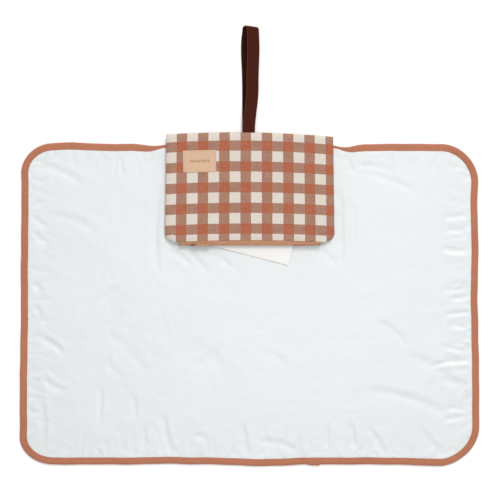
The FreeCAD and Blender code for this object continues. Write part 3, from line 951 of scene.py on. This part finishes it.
def row_of_stitches(name, length, pitch, thread, material):
    """Straight row of sewn stitches along X, each a rounded loop of thread."""
    bpy.ops.mesh.primitive_uv_sphere_add(segments=6, ring_count=4, radius=1)
    row = newest(name)
    points = points_of(row)[:, [2, 0, 1]] * [pitch * 0.37, thread, thread * 0.75]
    set_points(row, points + [pitch / 2, 0, 0])
    number = int(length / pitch)
    finish_with(row, "ARRAY", count=number, use_relative_offset=False,
                use_constant_offset=True, constant_offset_displace=(pitch, 0, 0))
    lay_map(row, points_of(row))
    dress(row, material)
    smooth(row)
    return row


def outline_of(x, y):
    """Laid place of a point already on the rounded outline."""
    corner = np.where(x < 0, LEFT_CORNER, RIGHT_CORNER)
    s = (np.abs(x) - (HALF_LONG - corner)) / corner
    t = (np.abs(y) - (HALF_WIDE - corner)) / corner
    both = (s > 0) & (t > 0)
    ring = np.hypot(s, t)
    most = np.maximum(s, t)
    grow = np.where(both, ring / np.where(both, most, 1), 1)
    square_x = np.where(both, np.sign(x) * (HALF_LONG - corner + s * grow * corner), x)
    square_y = np.where(both, np.sign(y) * (HALF_WIDE - corner + t * grow * corner), y)
    return mat_outline(square_x, square_y)


STITCH_INSET = 8.4 * MM
BAND_LOFT = 0.68
total_round = float(edge_path([0.0], STITCH_INSET)[4])


def binding_stitches(name, above):
    row = row_of_stitches(name, total_round, 3.0 * MM, 0.24 * MM, BAND_THREAD)
    points = points_of(row)
    x, y, head_x, head_y, _ = edge_path(np.clip(points[:, 0], 0, total_round), STITCH_INSET)
    lie_x, lie_y = outline_of(x, y)
    lie_x, lie_y = lie_x - head_y * points[:, 1], lie_y + head_x * points[:, 1]
    face = 3.2 + BAND_LOFT if above else 0.74 - BAND_LOFT
    lap = ((x > 84 * MM) & (x < LAP_HIGH) & (y < 0)) * (LAP_LIFT if above else 0)
    height = face * MM + lap * MM + (points[:, 2] if above else -points[:, 2] * 0.4 + 0.02 * MM)
    set_points(row, np.stack([lie_x, lie_y, height], 1))
    return row


stitched = []
for face_name, above in (("top", True), ("under", False)):
    whole = binding_stitches("stitch", above)
    for side, keep in (("left", lambda m: m[:, 0] > 0), ("right", lambda m: m[:, 0] <= 0)):
        half = copied(whole, f"binding_stitch_{face_name}_{side}")
        drop_faces(half, keep)
        stitched.append((half, side))
    only(whole)
    bpy.ops.object.delete()


# Pouch: front and back cloths sewn together round three sides, open at the zip

POUCH_HALF = front_high.x
POUCH_MID_Y = (front_low.y + front_high.y) / 2
POUCH_HALF_Y = (front_high.y - front_low.y) / 2
EDGE = [0, 0.4, 1.0, 1.9, 3.1, 4.8, 7.0, 9.5]


def pouch_lie(x, y):
    """Where the pouch's cut cloth lies: a slight turn, and a crown at its top."""
    u = x / MM
    share = (y - front_low.y) / (2 * POUCH_HALF_Y)
    top = (1.4 - 0.0148 * u - 0.000315 * u * u) * share
    bottom = (2.5 * (1 - (u / 104) ** 2) - 0.2) * (1 - share)
    wide = 1 + 0.016 * (1 - share)
    return x * wide, y + (top + bottom) * MM


def front_ripple(u, v):
    """Slack of the pouch's front, waviest near the hem at its right."""
    near = ease(1 - (v + POUCH_HALF_Y / MM) / 34)
    ripple = 0.12 * soft_noise(u, v, 70, 31) + 0.05 * soft_noise(u, v, 26, 33)
    ripple = ripple + 0.35 * near * np.sin(u / 11.5 + 0.6) * bump(u, 70, 40)
    ripple = ripple + crease(u, v, (60, -58), (104, -74), 0.6, 4.5, 2)
    return ripple + crease(u, v, (34, -66), (66, -76), 0.4, 4, -2)


def pouch_panel(name, front):
    across_lines = edged_lines(POUCH_HALF, EDGE, 2.5 * MM)
    panel, cut = cloth(name, across_lines, edged_lines(POUCH_HALF_Y, EDGE, 2.5 * MM))
    x, y = round_corners(cut[:, 0], cut[:, 1], POUCH_HALF, POUCH_HALF_Y, 15 * MM, bottom_only=True)
    side = POUCH_HALF - np.abs(cut[:, 0])
    upper = POUCH_HALF_Y - cut[:, 1]
    lower = cut[:, 1] + POUCH_HALF_Y
    closed = ease((np.abs(x) / MM - 104) / 9)
    lower = lower + (1 - closed) * 40 * MM
    depth = np.minimum(np.minimum(side, upper), lower) / MM
    rise = np.sqrt(np.clip(1 - (1 - np.clip(depth / 8.5, 0, 1)) ** 2, 0, 1))
    u, v = x / MM, y / MM
    if front:
        ripple = front_ripple(u, v)
        ripple = np.where(v < 14 - POUCH_HALF_Y / MM, np.maximum(ripple, 0), ripple)
        z = SEAM_Z + (front_high.z - 0.12 * MM - SEAM_Z) * rise + np.minimum(ripple, 0.3) * rise * MM
    else:
        z = SEAM_Z - (SEAM_Z - back_low.z) * rise + 0.05 * MM * rise
    lie_x, lie_y = pouch_lie(x, y + POUCH_MID_Y)
    set_points(panel, np.stack([lie_x, lie_y, z], 1))
    lay_map(panel, np.stack([cut[:, 0] if front else -cut[:, 0], cut[:, 1] + POUCH_MID_Y, cut[:, 2]], 1))
    if not front:
        bpy.context.tool_settings.mesh_select_mode = (False, False, True)
        in_edit(panel, select_everything, lambda: bpy.ops.mesh.flip_normals())
    return panel


pouch = joined(pouch_panel("pouch_shell", True), pouch_panel("pouch_shell_back", False))
pouch.name = "pouch_shell"
in_edit(pouch, select_everything, lambda: bpy.ops.mesh.remove_doubles(threshold=0.06 * MM))
dress(pouch, CHECK)
finish_with(pouch, "SOLIDIFY", thickness=0.6 * MM, offset=-1)
smooth(pouch, 70)


# Cloth that joins the mat's edge to the pouch's top seam
span = POUCH_HALF - 2.5 * MM
join_cloth, cut = cloth("pouch_join", lines(-span, span, 3 * MM), lines(0, 20 * MM, 0.9 * MM))
share = cut[:, 1] / (20 * MM)
y = 236.5 * MM + 18.2 * MM * share
z = (1.3 + 6.2 * ease(share * 1.02)) * MM
lie_x, lie_y = pouch_lie(cut[:, 0], y)
lie_y = y + (lie_y - y) * ease(share)
set_points(join_cloth, np.stack([lie_x, lie_y, z], 1))
lay_map(join_cloth, cut + [0, 0.236, 0])
dress(join_cloth, CHECK)
finish_with(join_cloth, "SOLIDIFY", thickness=0.8 * MM, offset=0)
smooth(join_cloth, 60)


# Zip

def bow_outward(piece, most):
    """Bows a straight zip part away from the pouch, most at its middle."""
    points = points_of(piece)
    reach = np.abs(points[:, 0]) / MM
    points[:, 1] -= most * np.clip(1 - (reach / 104) ** 2, 0, 1)
    set_points(piece, points)


def zip_tape(name, node):
    low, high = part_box(node)
    tape, cut = cloth(name, lines(low.x, high.x, 1.6 * MM), lines(low.y, high.y, 0.8 * MM))
    u = cut[:, 0] / MM
    wave = 0.06 * np.sin(u / 13) * bump(cut[:, 1] / MM, low.y / MM, 7)
    set_points(tape, np.stack([cut[:, 0], cut[:, 1], np.full(len(cut), high.z - 0.28 * MM) + wave * MM], 1))
    lay_map(tape, cut)
    dress(tape, TAPE)
    finish_with(tape, "SOLIDIFY", thickness=(high.z - low.z) - 0.2 * MM, offset=-1)
    smooth(tape, 60)
    return tape


def zip_teeth(name, node):
    """Row of rounded coil turns on a core thread."""
    low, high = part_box(node)
    bpy.ops.mesh.primitive_cylinder_add(vertices=10, radius=1, depth=1, rotation=(0, math.pi / 2, 0))
    tooth = newest(name)
    bpy.ops.object.transform_apply(location=False, rotation=True, scale=True)
    points = points_of(tooth) * [0.95 * MM, (high.y - low.y) / 2, (high.z - low.z) / 2]
    middle_y, middle_z = (low.y + high.y) / 2, (low.z + high.z) / 2
    set_points(tooth, points + [low.x + 0.6 * MM, middle_y, middle_z])
    finish_with(tooth, "BEVEL", width=0.22 * MM, segments=2, limit_method="ANGLE")
    number = int((high.x - low.x - 0.3 * MM) / (1.5 * MM))
    finish_with(tooth, "ARRAY", count=number, use_relative_offset=False,
                use_constant_offset=True, constant_offset_displace=(1.5 * MM, 0, 0))
    bpy.ops.mesh.primitive_cylinder_add(vertices=12, radius=0.42 * MM, depth=high.x - low.x,
                                        location=((low.x + high.x) / 2, high.y - 0.4 * MM, middle_z),
                                        rotation=(0, math.pi / 2, 0))
    core = newest(name + "_core")
    bpy.ops.object.transform_apply(location=True, rotation=True, scale=True)
    finish_with(core, "BEVEL", width=0.1 * MM, segments=2, limit_method="ANGLE")
    teeth = joined(tooth, core)
    dress(teeth, NYLON)
    smooth(teeth, 50)
    return teeth


def bevelled(node, name, width, material):
    """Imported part's own shape with its edges broken, as a cast piece has."""
    source = frame["nodes"][node]
    only(source)
    bpy.ops.object.duplicate()
    piece = newest(name)
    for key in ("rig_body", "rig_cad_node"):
        del piece[key]
    bpy.ops.object.parent_clear(type="CLEAR")
    merge_and_face_out(piece)
    in_edit(
        piece,
        select_everything,
        lambda: bpy.ops.mesh.dissolve_limited(angle_limit=math.radians(2)),
    )
    finish_with(piece, "BEVEL", width=width, segments=3, limit_method="ANGLE", use_clamp_overlap=True)
    dress(piece, material)
    smooth(piece, 40)
    return piece


tape_front = zip_tape("zip_band_front", "zip_tape_front")
tape_back = zip_tape("zip_band_back", "zip_tape_back")
teeth_front = zip_teeth("zip_teeth_front", "zip_coil_front")
teeth_back = zip_teeth("zip_teeth_back", "zip_coil_back")
bottom_stop = bevelled("zip_bottom_stop", "zip_end_stop", 0.3 * MM, BRASS)
top_stops = bevelled("zip_top_stops", "zip_open_stops", 0.3 * MM, BRASS)
slider = bevelled("zip_slider", "slider_body", 0.22 * MM, BRASS)
pull = bevelled("zip_pull", "pull_leaf", 0.2 * MM, TAB)
# The front row stays straight, because the slider runs on it
for part in (tape_back, teeth_back):
    bow_outward(part, 1.5 * MM)

# Two rows of sewing hold the front tape under the pouch's hem
hem_rows = []
for index, up in enumerate((2.2, 4.6)):
    row = row_of_stitches(f"pouch_stitch_{index}", 2 * 101 * MM, 2.6 * MM, 0.17 * MM, BAND_THREAD)
    points = points_of(row)
    x = points[:, 0] - 101 * MM
    y = np.full(len(x), front_low.y + up * MM) + points[:, 1]
    lie_x, lie_y = pouch_lie(x, y)
    u, v = x / MM, y / MM - POUCH_MID_Y / MM
    z = front_high.z - 0.12 * MM + np.clip(front_ripple(u, v), 0, 0.3) * MM + points[:, 2]
    set_points(row, np.stack([lie_x, lie_y, z], 1))
    hem_rows.append(row)


# Label: tan leather with a row of pressed diamonds and sewn edges

LABEL_W, LABEL_H = 49 * MM, 32.5 * MM
label_low, label_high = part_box("label")
label_mid = (label_low + label_high) / 2


def label_place(x, y, z):
    turn = math.radians(1.4)
    cos, sin = math.cos(turn), math.sin(turn)
    return np.stack([label_mid.x + x * cos - y * sin, label_mid.y + x * sin + y * cos, z], 1)


LABEL_RIM = [0, 0.15, 0.4, 0.8]
label_lines = [edged_lines(length / 2, LABEL_RIM, 0.42 * MM) for length in (LABEL_W, LABEL_H)]
label, cut = cloth("leather_label", *label_lines)
x, y = round_corners(cut[:, 0], cut[:, 1], LABEL_W / 2, LABEL_H / 2, 1.2 * MM)
edge = np.minimum(LABEL_W / 2 - np.abs(cut[:, 0]), LABEL_H / 2 - np.abs(cut[:, 1])) / MM
drop = 0.32 * (1 - np.sqrt(1 - (1 - np.clip(edge / 0.8, 0, 1)) ** 2))
u, v = x / MM, y / MM
pressed = np.zeros_like(u)
for number in range(9):
    beside = np.abs(u - (number - 4) * 3.3) / 1.5
    pressed = np.maximum(pressed, ease((1 - beside - np.abs(v) / 2.6) * 3.5))
groove = bump(edge, 2.1, 0.4)
grain = 0.03 * (1 - soft_noise(u, v, 12, 41))
z = label_high.z - 0.03 * MM - (drop + 0.55 * pressed + 0.10 * groove + grain) * MM
set_points(label, label_place(x, y, z))
lay_map(label, cut)
label.data.attributes.new("pressed", "FLOAT", "POINT").data.foreach_set("value", pressed.astype(np.float32))
dress(label, TAN)
finish_with(label, "SOLIDIFY", thickness=0.85 * MM, offset=-1)
smooth(label, 50)

label_rows = []
sewn_half = np.array([LABEL_W / 2 - 2.1 * MM, LABEL_H / 2 - 2.1 * MM])
corners = [np.array(sides) * sewn_half for sides in ((-1, -1), (1, -1), (1, 1), (-1, 1))]
for number, start in enumerate(corners):
    end = corners[(number + 1) % 4]
    length = float(np.hypot(*(end - start)))
    row = row_of_stitches(f"label_stitch_{number}", length, 1.9 * MM, 0.13 * MM, TAN_THREAD)
    points = points_of(row)
    way = (end - start) / length
    x = start[0] + way[0] * points[:, 0] - way[1] * points[:, 1]
    y = start[1] + way[1] * points[:, 0] + way[0] * points[:, 1]
    set_points(row, label_place(x, y, label_high.z - 0.1 * MM + points[:, 2]))
    label_rows.append(row)
label_sewing = joined(*label_rows)
label_sewing.name = "label_stitches"


# Strap: one band of leather folded into a loop, its upper layer lying askew

STRAP_W = 18 * MM
TIP_Y, ROOT_Y = 410.6 * MM, 255.8 * MM


def strap_spine(share):
    """Height, reach and sideways drift of the band's middle, from root to root."""
    straight = TIP_Y - ROOT_Y
    bend = math.pi * 3.3 * MM
    at = share * (2 * straight + bend)
    out = at < straight
    back = at > straight + bend
    y = np.where(out, ROOT_Y + at, ROOT_Y + (2 * straight + bend - at))
    neck = 1 - ease((y / MM - 268) / 34)
    low = 0.95 + 7.25 * neck
    high = 7.45 + 2.6 * neck - 0.9 * bump(y / MM, 352, 36)
    z = np.where(out, low, high)
    turn = (at - straight) / (3.3 * MM)
    around = ~out & ~back
    y = np.where(around, TIP_Y + 3.25 * MM * np.sin(turn), y)
    z = np.where(around, 4.2 - 3.25 * np.cos(turn), z)
    belly = bump(y / MM, 380, 30)
    lower = -2.2 - 1.8 * belly + 1.2 * ease((y / MM - 392) / 20)
    upper = -1.2 + 5.3 * ease((y / MM - 256) / 66) + 1.4 * belly
    mid = ease(turn / math.pi)
    drift = np.where(out, lower, np.where(back, upper, lower * (1 - mid) + upper * mid))
    return y, z * MM, drift * MM


share = lines(0, 1, 0.0045)
strap, cut = cloth("strap_band", lines(-STRAP_W / 2, STRAP_W / 2, 1.5 * MM), share)
y, z, drift = strap_spine(cut[:, 1])
ahead_y, ahead_z, _ = strap_spine(np.clip(cut[:, 1] + 0.001, 0, 1))
back_y, back_z, _ = strap_spine(np.clip(cut[:, 1] - 0.001, 0, 1))
run_y, run_z = ahead_y - back_y, ahead_z - back_z
size = np.maximum(np.hypot(run_y, run_z), 1e-9)
returning = ease((cut[:, 1] - 0.5) * 12 + 0.5)
crown = -0.12 * MM * (cut[:, 0] / (STRAP_W / 2)) ** 2
tilt = -0.07 * cut[:, 0] * returning * ease((y / MM - 262) / 60)
slant = -0.14 * cut[:, 0] * ease((y / MM - 388) / 24)
lie_y = y + slant + crown * run_z / size
lie_z = z - crown * run_y / size + tilt
set_points(strap, np.stack([cut[:, 0] + drift, lie_y, lie_z], 1))
in_edit(strap, select_everything, lambda: bpy.ops.mesh.flip_normals())
lay_map(strap, cut * [1, 0.33, 1])
# The loop's inner faces take the flesh side, darkened with painted shade
dress(strap, BROWN, FLESH_PAINTED_SHADE, CUT_EDGE_PAINTED_HIGHLIGHT)
# The rims and bevelled edges take the cut-edge colour, lightened by a painted highlight
finish_with(strap, "SOLIDIFY", thickness=1.6 * MM, offset=0, material_offset=1, material_offset_rim=2)
finish_with(strap, "BEVEL", width=0.42 * MM, segments=2, limit_method="ANGLE", material=2)
smooth(strap, 50)


# Wipe: a cloth folded in two, sliding out of the pouch

WIPE_W, WIPE_H = 130 * MM, 120 * MM
wipe, cut = cloth("wipe_cloth", lines(-WIPE_W, 0, 2.6 * MM), lines(-WIPE_H, WIPE_H, 2.4 * MM))
top = ease((cut[:, 1] / MM + 2) / 4)
a, b = cut[:, 0], np.abs(cut[:, 1])
skew = (1 - top) * math.radians(-0.9)
a2 = a * np.cos(skew) - (b - WIPE_H) * np.sin(skew) * 0.6
b2 = b - a * np.sin(skew) * 0.8 + top * 1.0 * MM * ease(b / (12 * MM))
turn = math.radians(-14.8)
x = 57 * MM + a2 * math.cos(turn) - b2 * math.sin(turn)
y = 59 * MM + a2 * math.sin(turn) + b2 * math.cos(turn)
inside = ease((y / MM - 74) / 13)
u, v = x / MM, y / MM
ripple = 0.28 * soft_noise(u, v, 34, 51) * (1 - inside)
gap = 0.16 + 0.16 * np.abs(top * 2 - 1)
base = (4.98 * (1 - inside) + 6.68 * inside) + ripple
z = (base + (top - 0.5) * 2 * gap + (1 - inside) * top * 0.35) * MM
set_points(wipe, np.stack([x, y, z], 1))
lay_map(wipe, cut)
dress(wipe, TISSUE)
finish_with(wipe, "SOLIDIFY", thickness=0.24 * MM, offset=0)
smooth(wipe, 70)


# Studio

bpy.ops.mesh.primitive_plane_add(size=9, location=(0, 0, -0.25 * MM))
floor = newest("floor")
floor_finish = bpy.data.materials.new("pale_floor")
floor_finish.use_nodes = True
floor_shader = floor_finish.node_tree.nodes["Principled BSDF"]
floor_shader.inputs["Base Color"].default_value = (0.92, 0.92, 0.92, 1)
floor_shader.inputs["Roughness"].default_value = 0.9
floor_shader.inputs["Specular IOR Level"].default_value = 0.1
floor_shader.inputs["Emission Color"].default_value = (1, 1, 1, 1)
floor_shader.inputs["Emission Strength"].default_value = 0.16
floor.data.materials.append(floor_finish)

world = bpy.data.worlds.new("studio")
bpy.context.scene.world = world
world.use_nodes = True
world.node_tree.nodes["Background"].inputs["Color"].default_value = (1, 1, 1, 1)
world.node_tree.nodes["Background"].inputs["Strength"].default_value = 0.53


def softbox(name, place, aim, size, power):
    lamp = bpy.data.lights.new(name, "AREA")
    lamp.shape = "SQUARE"
    lamp.size = size
    lamp.energy = power
    holder = bpy.data.objects.new(name, lamp)
    bpy.context.scene.collection.objects.link(holder)
    holder.location = place
    way = holder.location.copy()
    way.x, way.y, way.z = aim[0] - place[0], aim[1] - place[1], aim[2] - place[2]
    holder.visible_camera = False
    holder.rotation_euler = way.to_track_quat("-Z", "Y").to_euler()


softbox("top_softbox", (0.9, 2.9, 3.9), (0, 0.05, 0), 2.0, 112)
softbox("overhead_softbox", (0.09, 0.01, 1.05), (0.07, 0, 0), 0.6, 2.0)

camera = bpy.data.objects.new("camera", bpy.data.cameras.new("camera"))
bpy.context.scene.collection.objects.link(camera)
camera.location = (0.0004, 0.0816, 3.0)
camera.data.sensor_width = 36
camera.data.lens = 36 * 2.996 / 0.744
camera.data.clip_end = 50
bpy.context.scene.camera = camera
bpy.context.scene.view_settings.view_transform = "Standard"
bpy.context.scene.view_settings.look = "None"


# Which body each piece moves with

def sewn_on(piece, body, slot, *nodes):
    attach(piece, body)
    if nodes:
        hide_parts(*nodes)


for side, piece in (("left", mat_left), ("right", mat_right)):
    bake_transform(piece)
    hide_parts(f"{side}_top_sheet", f"{side}_padding", f"{side}_back_cloth")
    band = binding_left if side == "left" else binding_right
    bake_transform(band)
    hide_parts(f"{side}_binding")
    for rows, row_side in stitched:
        if row_side == side:
            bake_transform(rows)
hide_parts("centre_top_sheet", "centre_padding", "centre_back_cloth")
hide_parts("centre_binding_top", "centre_binding_bottom")

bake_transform(join_cloth)
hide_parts("pouch_hinge_cloth")
sewn_on(pouch, "pouch", "gingham_cloth", "pouch_front", "pouch_back", "pouch_gusset")
sewn_on(tape_front, "pouch", "zip_tape", "zip_tape_front")
sewn_on(tape_back, "pouch", "zip_tape", "zip_tape_back")
sewn_on(teeth_front, "pouch", "zip_coil", "zip_coil_front")
sewn_on(teeth_back, "pouch", "zip_coil", "zip_coil_back")
sewn_on(bottom_stop, "pouch", "zip_metal", "zip_bottom_stop")
sewn_on(top_stops, "pouch", "zip_metal", "zip_top_stops")
sewn_on(slider, "slider", "zip_metal", "zip_slider")
sewn_on(pull, "pull_tab", "tan_leather", "zip_pull")
sewn_on(label, "pouch", "tan_leather", "label")
sewn_on(label_sewing, "pouch", "tan_leather")
for row in hem_rows:
    sewn_on(row, "pouch", "zip_tape")
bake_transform(strap)
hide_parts("strap_loop")
sewn_on(wipe, "wipe", "wipe_cloth", "wipe_sheet")
